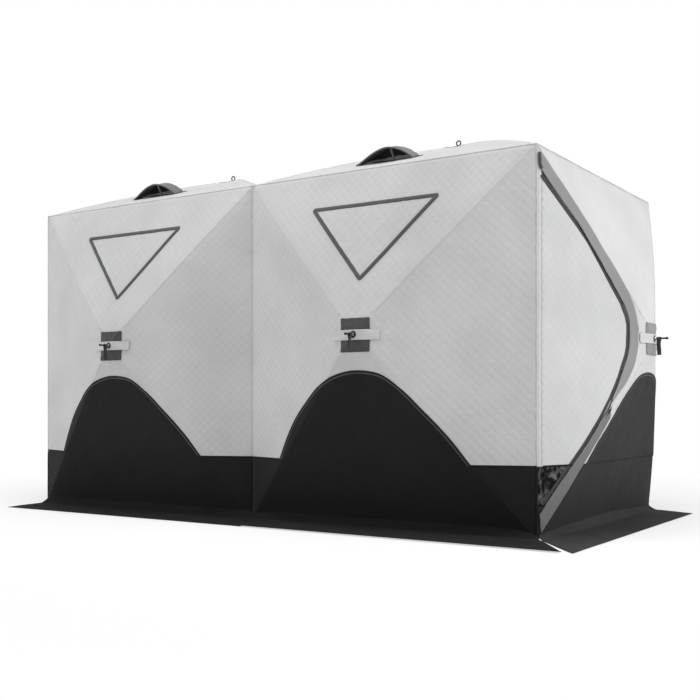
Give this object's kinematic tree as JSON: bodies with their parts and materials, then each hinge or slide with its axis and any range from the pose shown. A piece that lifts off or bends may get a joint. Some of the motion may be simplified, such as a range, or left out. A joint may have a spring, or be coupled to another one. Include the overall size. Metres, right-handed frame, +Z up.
{
  "type": "ice fishing shelter",
  "caption": "Free-standing pop-up shelter of quilted cloth over hubs and bent rods, with a zipped end door, roof vents and a snow skirt, for fishing through ice.",
  "frame": {"origin": "on the ground, at the middle of the plan", "axes": "+X along the long side towards the door end, -Y towards the front wall with the vents above it, +Z up"},
  "size_m": [4.378, 2.584, 2.271],
  "materials": {
    "skin": "quilted polyester shell with a light thermal filling",
    "skirt": "coated black oxford cloth",
    "trim": "black polyester webbing",
    "hub": "moulded black nylon with a steel bolt",
    "rod": "pultruded fibreglass",
    "door": "quilted polyester door panel",
    "mesh": "black insect mesh and grey hood cloth",
    "zip": "die-cast zip slider"
  },
  "bodies": {
    "root": {"wall_front": "skin", "wall_back": "skin", "wall_left_end": "skin", "wall_right_end": "skin", "roof": "skin", "snow_skirt": "skirt"},
    "hub_front_left": {"hub_front_left": "hub"},
    "rod_front_left_upper_left": {"rod_front_left_upper_left": "rod"},
    "rod_front_left_upper_right": {"rod_front_left_upper_right": "rod"},
    "rod_front_left_lower_right": {"rod_front_left_lower_right": "rod"},
    "rod_front_left_lower_left": {"rod_front_left_lower_left": "rod"},
    "pull_strap_front_left": {"pull_strap_front_left": "trim"},
    "hub_front_right": {"hub_front_right": "hub"},
    "rod_front_right_upper_left": {"rod_front_right_upper_left": "rod"},
    "rod_front_right_upper_right": {"rod_front_right_upper_right": "rod"},
    "rod_front_right_lower_right": {"rod_front_right_lower_right": "rod"},
    "rod_front_right_lower_left": {"rod_front_right_lower_left": "rod"},
    "pull_strap_front_right": {"pull_strap_front_right": "trim"},
    "hub_back_left": {"hub_back_left": "hub"},
    "rod_back_left_upper_left": {"rod_back_left_upper_left": "rod"},
    "rod_back_left_upper_right": {"rod_back_left_upper_right": "rod"},
    "rod_back_left_lower_right": {"rod_back_left_lower_right": "rod"},
    "rod_back_left_lower_left": {"rod_back_left_lower_left": "rod"},
    "pull_strap_back_left": {"pull_strap_back_left": "trim"},
    "hub_back_right": {"hub_back_right": "hub"},
    "rod_back_right_upper_left": {"rod_back_right_upper_left": "rod"},
    "rod_back_right_upper_right": {"rod_back_right_upper_right": "rod"},
    "rod_back_right_lower_right": {"rod_back_right_lower_right": "rod"},
    "rod_back_right_lower_left": {"rod_back_right_lower_left": "rod"},
    "pull_strap_back_right": {"pull_strap_back_right": "trim"},
    "hub_left_end": {"hub_left_end": "hub"},
    "rod_left_end_upper_left": {"rod_left_end_upper_left": "rod"},
    "rod_left_end_upper_right": {"rod_left_end_upper_right": "rod"},
    "rod_left_end_lower_right": {"rod_left_end_lower_right": "rod"},
    "rod_left_end_lower_left": {"rod_left_end_lower_left": "rod"},
    "pull_strap_left_end": {"pull_strap_left_end": "trim"},
    "hub_right_end": {"hub_right_end": "hub"},
    "rod_right_end_upper_left": {"rod_right_end_upper_left": "rod"},
    "rod_right_end_upper_right": {"rod_right_end_upper_right": "rod"},
    "rod_right_end_lower_right": {"rod_right_end_lower_right": "rod"},
    "rod_right_end_lower_left": {"rod_right_end_lower_left": "rod"},
    "pull_strap_right_end": {"pull_strap_right_end": "trim"},
    "hub_roof_left": {"hub_roof_left": "hub"},
    "rod_roof_left_back_left": {"rod_roof_left_back_left": "rod"},
    "rod_roof_left_back_right": {"rod_roof_left_back_right": "rod"},
    "rod_roof_left_front_right": {"rod_roof_left_front_right": "rod"},
    "rod_roof_left_front_left": {"rod_roof_left_front_left": "rod"},
    "hub_roof_right": {"hub_roof_right": "hub"},
    "rod_roof_right_back_left": {"rod_roof_right_back_left": "rod"},
    "rod_roof_right_back_right": {"rod_roof_right_back_right": "rod"},
    "rod_roof_right_front_right": {"rod_roof_right_front_right": "rod"},
    "rod_roof_right_front_left": {"rod_roof_right_front_left": "rod"},
    "door_hinge_strip": {"door_hinge_strip": "trim"},
    "door_panel": {"door_panel": "door"},
    "door_zip_slider": {"door_zip_slider": "zip"},
    "vent_mesh_left": {"vent_mesh_left": "mesh"},
    "vent_hood_left": {"vent_hood_left": "mesh"},
    "vent_mesh_right": {"vent_mesh_right": "mesh"},
    "vent_hood_right": {"vent_hood_right": "mesh"}
  },
  "joints": [
    {"name": "hub_front_left_pop_in", "type": "slide", "parent": "root", "child": "hub_front_left", "axis": [0, -1, 0], "range_m": [-0.538, 0], "deforming": ["wall_front"]},
    {"name": "rod_front_left_upper_left_fold", "type": "hinge", "parent": "hub_front_left", "child": "rod_front_left_upper_left", "pos_m": [-0.93471, -1.169, 1.07299], "axis": [0.7197, 0, 0.6943], "range_deg": [0, 25.7]},
    {"name": "rod_front_left_upper_right_fold", "type": "hinge", "parent": "hub_front_left", "child": "rod_front_left_upper_right", "pos_m": [-0.86529, -1.169, 1.07299], "axis": [0.7197, 0, -0.6943], "range_deg": [0, 25.7]},
    {"name": "rod_front_left_lower_right_fold", "type": "hinge", "parent": "hub_front_left", "child": "rod_front_left_lower_right", "pos_m": [-0.86723, -1.16913, 0.99924], "axis": [-0.7552, 0, -0.6555], "range_deg": [0, 24.26]},
    {"name": "rod_front_left_lower_left_fold", "type": "hinge", "parent": "hub_front_left", "child": "rod_front_left_lower_left", "pos_m": [-0.93277, -1.16913, 0.99924], "axis": [-0.7552, 0, 0.6555], "range_deg": [0, 24.26]},
    {"name": "pull_strap_front_left_swing", "type": "hinge", "parent": "hub_front_left", "child": "pull_strap_front_left", "pos_m": [-0.9, -1.2125, 1.037], "axis": [0, -1, 0], "range_deg": [-150, 150]},
    {"name": "hub_front_right_pop_in", "type": "slide", "parent": "root", "child": "hub_front_right", "axis": [0, -1, 0], "range_m": [-0.538, 0], "deforming": ["wall_front"]},
    {"name": "rod_front_right_upper_left_fold", "type": "hinge", "parent": "hub_front_right", "child": "rod_front_right_upper_left", "pos_m": [0.86529, -1.169, 1.07299], "axis": [0.7197, 0, 0.6943], "range_deg": [0, 25.7]},
    {"name": "rod_front_right_upper_right_fold", "type": "hinge", "parent": "hub_front_right", "child": "rod_front_right_upper_right", "pos_m": [0.93471, -1.169, 1.07299], "axis": [0.7197, 0, -0.6943], "range_deg": [0, 25.7]},
    {"name": "rod_front_right_lower_right_fold", "type": "hinge", "parent": "hub_front_right", "child": "rod_front_right_lower_right", "pos_m": [0.93277, -1.16913, 0.99924], "axis": [-0.7552, 0, -0.6555], "range_deg": [0, 24.26]},
    {"name": "rod_front_right_lower_left_fold", "type": "hinge", "parent": "hub_front_right", "child": "rod_front_right_lower_left", "pos_m": [0.86723, -1.16913, 0.99924], "axis": [-0.7552, 0, 0.6555], "range_deg": [0, 24.26]},
    {"name": "pull_strap_front_right_swing", "type": "hinge", "parent": "hub_front_right", "child": "pull_strap_front_right", "pos_m": [0.9, -1.2125, 1.037], "axis": [0, -1, 0], "range_deg": [-150, 150]},
    {"name": "hub_back_left_pop_in", "type": "slide", "parent": "root", "child": "hub_back_left", "axis": [0, 1, 0], "range_m": [-0.538, 0], "deforming": ["wall_back"]},
    {"name": "rod_back_left_upper_left_fold", "type": "hinge", "parent": "hub_back_left", "child": "rod_back_left_upper_left", "pos_m": [-0.86529, 1.169, 1.07299], "axis": [-0.7197, 0, 0.6943], "range_deg": [0, 25.7]},
    {"name": "rod_back_left_upper_right_fold", "type": "hinge", "parent": "hub_back_left", "child": "rod_back_left_upper_right", "pos_m": [-0.93471, 1.169, 1.07299], "axis": [-0.7197, 0, -0.6943], "range_deg": [0, 25.7]},
    {"name": "rod_back_left_lower_right_fold", "type": "hinge", "parent": "hub_back_left", "child": "rod_back_left_lower_right", "pos_m": [-0.93277, 1.16913, 0.99924], "axis": [0.7552, 0, -0.6555], "range_deg": [0, 24.26]},
    {"name": "rod_back_left_lower_left_fold", "type": "hinge", "parent": "hub_back_left", "child": "rod_back_left_lower_left", "pos_m": [-0.86723, 1.16913, 0.99924], "axis": [0.7552, 0, 0.6555], "range_deg": [0, 24.26]},
    {"name": "pull_strap_back_left_swing", "type": "hinge", "parent": "hub_back_left", "child": "pull_strap_back_left", "pos_m": [-0.9, 1.2125, 1.037], "axis": [0, 1, 0], "range_deg": [-150, 150]},
    {"name": "hub_back_right_pop_in", "type": "slide", "parent": "root", "child": "hub_back_right", "axis": [0, 1, 0], "range_m": [-0.538, 0], "deforming": ["wall_back"]},
    {"name": "rod_back_right_upper_left_fold", "type": "hinge", "parent": "hub_back_right", "child": "rod_back_right_upper_left", "pos_m": [0.93471, 1.169, 1.07299], "axis": [-0.7197, 0, 0.6943], "range_deg": [0, 25.7]},
    {"name": "rod_back_right_upper_right_fold", "type": "hinge", "parent": "hub_back_right", "child": "rod_back_right_upper_right", "pos_m": [0.86529, 1.169, 1.07299], "axis": [-0.7197, 0, -0.6943], "range_deg": [0, 25.7]},
    {"name": "rod_back_right_lower_right_fold", "type": "hinge", "parent": "hub_back_right", "child": "rod_back_right_lower_right", "pos_m": [0.86723, 1.16913, 0.99924], "axis": [0.7552, 0, -0.6555], "range_deg": [0, 24.26]},
    {"name": "rod_back_right_lower_left_fold", "type": "hinge", "parent": "hub_back_right", "child": "rod_back_right_lower_left", "pos_m": [0.93277, 1.16913, 0.99924], "axis": [0.7552, 0, 0.6555], "range_deg": [0, 24.26]},
    {"name": "pull_strap_back_right_swing", "type": "hinge", "parent": "hub_back_right", "child": "pull_strap_back_right", "pos_m": [0.9, 1.2125, 1.037], "axis": [0, 1, 0], "range_deg": [-150, 150]},
    {"name": "hub_left_end_pop_in", "type": "slide", "parent": "root", "child": "hub_left_end", "axis": [-1, 0, 0], "range_m": [-0.5718, 0], "deforming": ["wall_left_end"]},
    {"name": "rod_left_end_upper_left_fold", "type": "hinge", "parent": "hub_left_end", "child": "rod_left_end_upper_left", "pos_m": [-2.08677, 0.03471, 1.07299], "axis": [0, -0.7197, 0.6943], "range_deg": [0, 27.25]},
    {"name": "rod_left_end_upper_right_fold", "type": "hinge", "parent": "hub_left_end", "child": "rod_left_end_upper_right", "pos_m": [-2.08677, -0.03471, 1.07299], "axis": [0, -0.7197, -0.6943], "range_deg": [0, 27.25]},
    {"name": "rod_left_end_lower_right_fold", "type": "hinge", "parent": "hub_left_end", "child": "rod_left_end_lower_right", "pos_m": [-2.08693, -0.03277, 0.99924], "axis": [0, 0.7552, -0.6555], "range_deg": [0, 25.74]},
    {"name": "rod_left_end_lower_left_fold", "type": "hinge", "parent": "hub_left_end", "child": "rod_left_end_lower_left", "pos_m": [-2.08693, 0.03277, 0.99924], "axis": [0, 0.7552, 0.6555], "range_deg": [0, 25.74]},
    {"name": "pull_strap_left_end_swing", "type": "hinge", "parent": "hub_left_end", "child": "pull_strap_left_end", "pos_m": [-2.1305, 0, 1.037], "axis": [-1, 0, 0], "range_deg": [-150, 150]},
    {"name": "hub_right_end_pop_in", "type": "slide", "parent": "root", "child": "hub_right_end", "axis": [1, 0, 0], "range_m": [-0.5718, 0], "deforming": ["wall_right_end"]},
    {"name": "rod_right_end_upper_left_fold", "type": "hinge", "parent": "hub_right_end", "child": "rod_right_end_upper_left", "pos_m": [2.08677, -0.03471, 1.07299], "axis": [0, 0.7197, 0.6943], "range_deg": [0, 27.25]},
    {"name": "rod_right_end_upper_right_fold", "type": "hinge", "parent": "hub_right_end", "child": "rod_right_end_upper_right", "pos_m": [2.08677, 0.03471, 1.07299], "axis": [0, 0.7197, -0.6943], "range_deg": [0, 27.25]},
    {"name": "rod_right_end_lower_right_fold", "type": "hinge", "parent": "hub_right_end", "child": "rod_right_end_lower_right", "pos_m": [2.08693, 0.03277, 0.99924], "axis": [0, -0.7552, -0.6555], "range_deg": [0, 25.74]},
    {"name": "rod_right_end_lower_left_fold", "type": "hinge", "parent": "hub_right_end", "child": "rod_right_end_lower_left", "pos_m": [2.08693, -0.03277, 0.99924], "axis": [0, -0.7552, 0.6555], "range_deg": [0, 25.74]},
    {"name": "pull_strap_right_end_swing", "type": "hinge", "parent": "hub_right_end", "child": "pull_strap_right_end", "pos_m": [2.1305, 0, 1.037], "axis": [1, 0, 0], "range_deg": [-150, 150]},
    {"name": "hub_roof_left_pop_in", "type": "slide", "parent": "root", "child": "hub_roof_left", "axis": [0, 0, 1], "range_m": [-0.5333, 0], "deforming": ["roof"]},
    {"name": "rod_roof_left_back_left_fold", "type": "hinge", "parent": "hub_roof_left", "child": "rod_roof_left_back_left", "pos_m": [-0.93536, 0.03535, 2.23849], "axis": [0.7071, 0.7071, 0], "range_deg": [0, 25.96]},
    {"name": "rod_roof_left_back_right_fold", "type": "hinge", "parent": "hub_roof_left", "child": "rod_roof_left_back_right", "pos_m": [-0.86464, 0.03535, 2.23849], "axis": [0.7071, -0.7071, 0], "range_deg": [0, 25.96]},
    {"name": "rod_roof_left_front_right_fold", "type": "hinge", "parent": "hub_roof_left", "child": "rod_roof_left_front_right", "pos_m": [-0.86464, -0.03535, 2.23849], "axis": [-0.7071, -0.7071, 0], "range_deg": [0, 25.96]},
    {"name": "rod_roof_left_front_left_fold", "type": "hinge", "parent": "hub_roof_left", "child": "rod_roof_left_front_left", "pos_m": [-0.93536, -0.03535, 2.23849], "axis": [-0.7071, 0.7071, 0], "range_deg": [0, 25.96]},
    {"name": "hub_roof_right_pop_in", "type": "slide", "parent": "root", "child": "hub_roof_right", "axis": [0, 0, 1], "range_m": [-0.5333, 0], "deforming": ["roof"]},
    {"name": "rod_roof_right_back_left_fold", "type": "hinge", "parent": "hub_roof_right", "child": "rod_roof_right_back_left", "pos_m": [0.86464, 0.03535, 2.23849], "axis": [0.7071, 0.7071, 0], "range_deg": [0, 25.96]},
    {"name": "rod_roof_right_back_right_fold", "type": "hinge", "parent": "hub_roof_right", "child": "rod_roof_right_back_right", "pos_m": [0.93536, 0.03535, 2.23849], "axis": [0.7071, -0.7071, 0], "range_deg": [0, 25.96]},
    {"name": "rod_roof_right_front_right_fold", "type": "hinge", "parent": "hub_roof_right", "child": "rod_roof_right_front_right", "pos_m": [0.93536, -0.03535, 2.23849], "axis": [-0.7071, -0.7071, 0], "range_deg": [0, 25.96]},
    {"name": "rod_roof_right_front_left_fold", "type": "hinge", "parent": "hub_roof_right", "child": "rod_roof_right_front_left", "pos_m": [0.86464, -0.03535, 2.23849], "axis": [-0.7071, 0.7071, 0], "range_deg": [0, 25.96]},
    {"name": "door_hinge_strip_follow", "type": "hinge", "parent": "root", "child": "door_hinge_strip", "pos_m": [1.8, -0.9, 1], "axis": [0, 0, 1], "range_deg": [0, 35.26]},
    {"name": "door_open", "type": "hinge", "parent": "door_hinge_strip", "child": "door_panel", "pos_m": [1.80778, -0.87199, 1], "axis": [0, 0, -1], "range_deg": [0, 120]},
    {"name": "door_zip_slide", "type": "slide", "parent": "door_panel", "child": "door_zip_slider", "axis": [-0.2353, -0.6659, -0.708], "range_m": [0, 0.55]},
    {"name": "vent_mesh_left_follow", "type": "hinge", "parent": "root", "child": "vent_mesh_left", "pos_m": [-1.04, -0.9, 1.97], "axis": [-1, 0, 0], "range_deg": [0, 33.02]},
    {"name": "vent_hood_left_close", "type": "hinge", "parent": "vent_mesh_left", "child": "vent_hood_left", "pos_m": [-1.04, -0.65954, 2.0749], "axis": [1, 0, 0], "range_deg": [0, 80], "deforming": ["vent_hood_left"]},
    {"name": "vent_mesh_right_follow", "type": "hinge", "parent": "root", "child": "vent_mesh_right", "pos_m": [0.76, -0.9, 1.97], "axis": [-1, 0, 0], "range_deg": [0, 33.02]},
    {"name": "vent_hood_right_close", "type": "hinge", "parent": "vent_mesh_right", "child": "vent_hood_right", "pos_m": [0.76, -0.65954, 2.0749], "axis": [1, 0, 0], "range_deg": [0, 80], "deforming": ["vent_hood_right"]}
  ],
  "couplings": [
    {"joint": "rod_front_left_upper_left_fold", "follows": "hub_front_left_pop_in", "rad_per_m": -0.83205},
    {"joint": "rod_front_left_upper_right_fold", "follows": "hub_front_left_pop_in", "rad_per_m": -0.83205},
    {"joint": "rod_front_left_lower_right_fold", "follows": "hub_front_left_pop_in", "rad_per_m": -0.78553},
    {"joint": "rod_front_left_lower_left_fold", "follows": "hub_front_left_pop_in", "rad_per_m": -0.78553},
    {"joint": "rod_front_right_upper_left_fold", "follows": "hub_front_right_pop_in", "rad_per_m": -0.83205},
    {"joint": "rod_front_right_upper_right_fold", "follows": "hub_front_right_pop_in", "rad_per_m": -0.83205},
    {"joint": "rod_front_right_lower_right_fold", "follows": "hub_front_right_pop_in", "rad_per_m": -0.78553},
    {"joint": "rod_front_right_lower_left_fold", "follows": "hub_front_right_pop_in", "rad_per_m": -0.78553},
    {"joint": "rod_back_left_upper_left_fold", "follows": "hub_back_left_pop_in", "rad_per_m": -0.83205},
    {"joint": "rod_back_left_upper_right_fold", "follows": "hub_back_left_pop_in", "rad_per_m": -0.83205},
    {"joint": "rod_back_left_lower_right_fold", "follows": "hub_back_left_pop_in", "rad_per_m": -0.78553},
    {"joint": "rod_back_left_lower_left_fold", "follows": "hub_back_left_pop_in", "rad_per_m": -0.78553},
    {"joint": "rod_back_right_upper_left_fold", "follows": "hub_back_right_pop_in", "rad_per_m": -0.83205},
    {"joint": "rod_back_right_upper_right_fold", "follows": "hub_back_right_pop_in", "rad_per_m": -0.83205},
    {"joint": "rod_back_right_lower_right_fold", "follows": "hub_back_right_pop_in", "rad_per_m": -0.78553},
    {"joint": "rod_back_right_lower_left_fold", "follows": "hub_back_right_pop_in", "rad_per_m": -0.78553},
    {"joint": "rod_left_end_upper_left_fold", "follows": "hub_left_end_pop_in", "rad_per_m": -0.83022},
    {"joint": "rod_left_end_upper_right_fold", "follows": "hub_left_end_pop_in", "rad_per_m": -0.83022},
    {"joint": "rod_left_end_lower_right_fold", "follows": "hub_left_end_pop_in", "rad_per_m": -0.78402},
    {"joint": "rod_left_end_lower_left_fold", "follows": "hub_left_end_pop_in", "rad_per_m": -0.78402},
    {"joint": "rod_right_end_upper_left_fold", "follows": "hub_right_end_pop_in", "rad_per_m": -0.83022},
    {"joint": "rod_right_end_upper_right_fold", "follows": "hub_right_end_pop_in", "rad_per_m": -0.83022},
    {"joint": "rod_right_end_lower_right_fold", "follows": "hub_right_end_pop_in", "rad_per_m": -0.78402},
    {"joint": "rod_right_end_lower_left_fold", "follows": "hub_right_end_pop_in", "rad_per_m": -0.78402},
    {"joint": "rod_roof_left_back_left_fold", "follows": "hub_roof_left_pop_in", "rad_per_m": -0.84793},
    {"joint": "rod_roof_left_back_right_fold", "follows": "hub_roof_left_pop_in", "rad_per_m": -0.84793},
    {"joint": "rod_roof_left_front_right_fold", "follows": "hub_roof_left_pop_in", "rad_per_m": -0.84793},
    {"joint": "rod_roof_left_front_left_fold", "follows": "hub_roof_left_pop_in", "rad_per_m": -0.84793},
    {"joint": "rod_roof_right_back_left_fold", "follows": "hub_roof_right_pop_in", "rad_per_m": -0.84793},
    {"joint": "rod_roof_right_back_right_fold", "follows": "hub_roof_right_pop_in", "rad_per_m": -0.84793},
    {"joint": "rod_roof_right_front_right_fold", "follows": "hub_roof_right_pop_in", "rad_per_m": -0.84793},
    {"joint": "rod_roof_right_front_left_fold", "follows": "hub_roof_right_pop_in", "rad_per_m": -0.84793},
    {"joint": "door_hinge_strip_follow", "follows": "hub_right_end_pop_in", "rad_per_m": -1.0747},
    {"joint": "vent_mesh_left_follow", "follows": "hub_roof_left_pop_in", "rad_per_m": -1.0791},
    {"joint": "vent_mesh_right_follow", "follows": "hub_roof_right_pop_in", "rad_per_m": -1.0791}
  ]
}
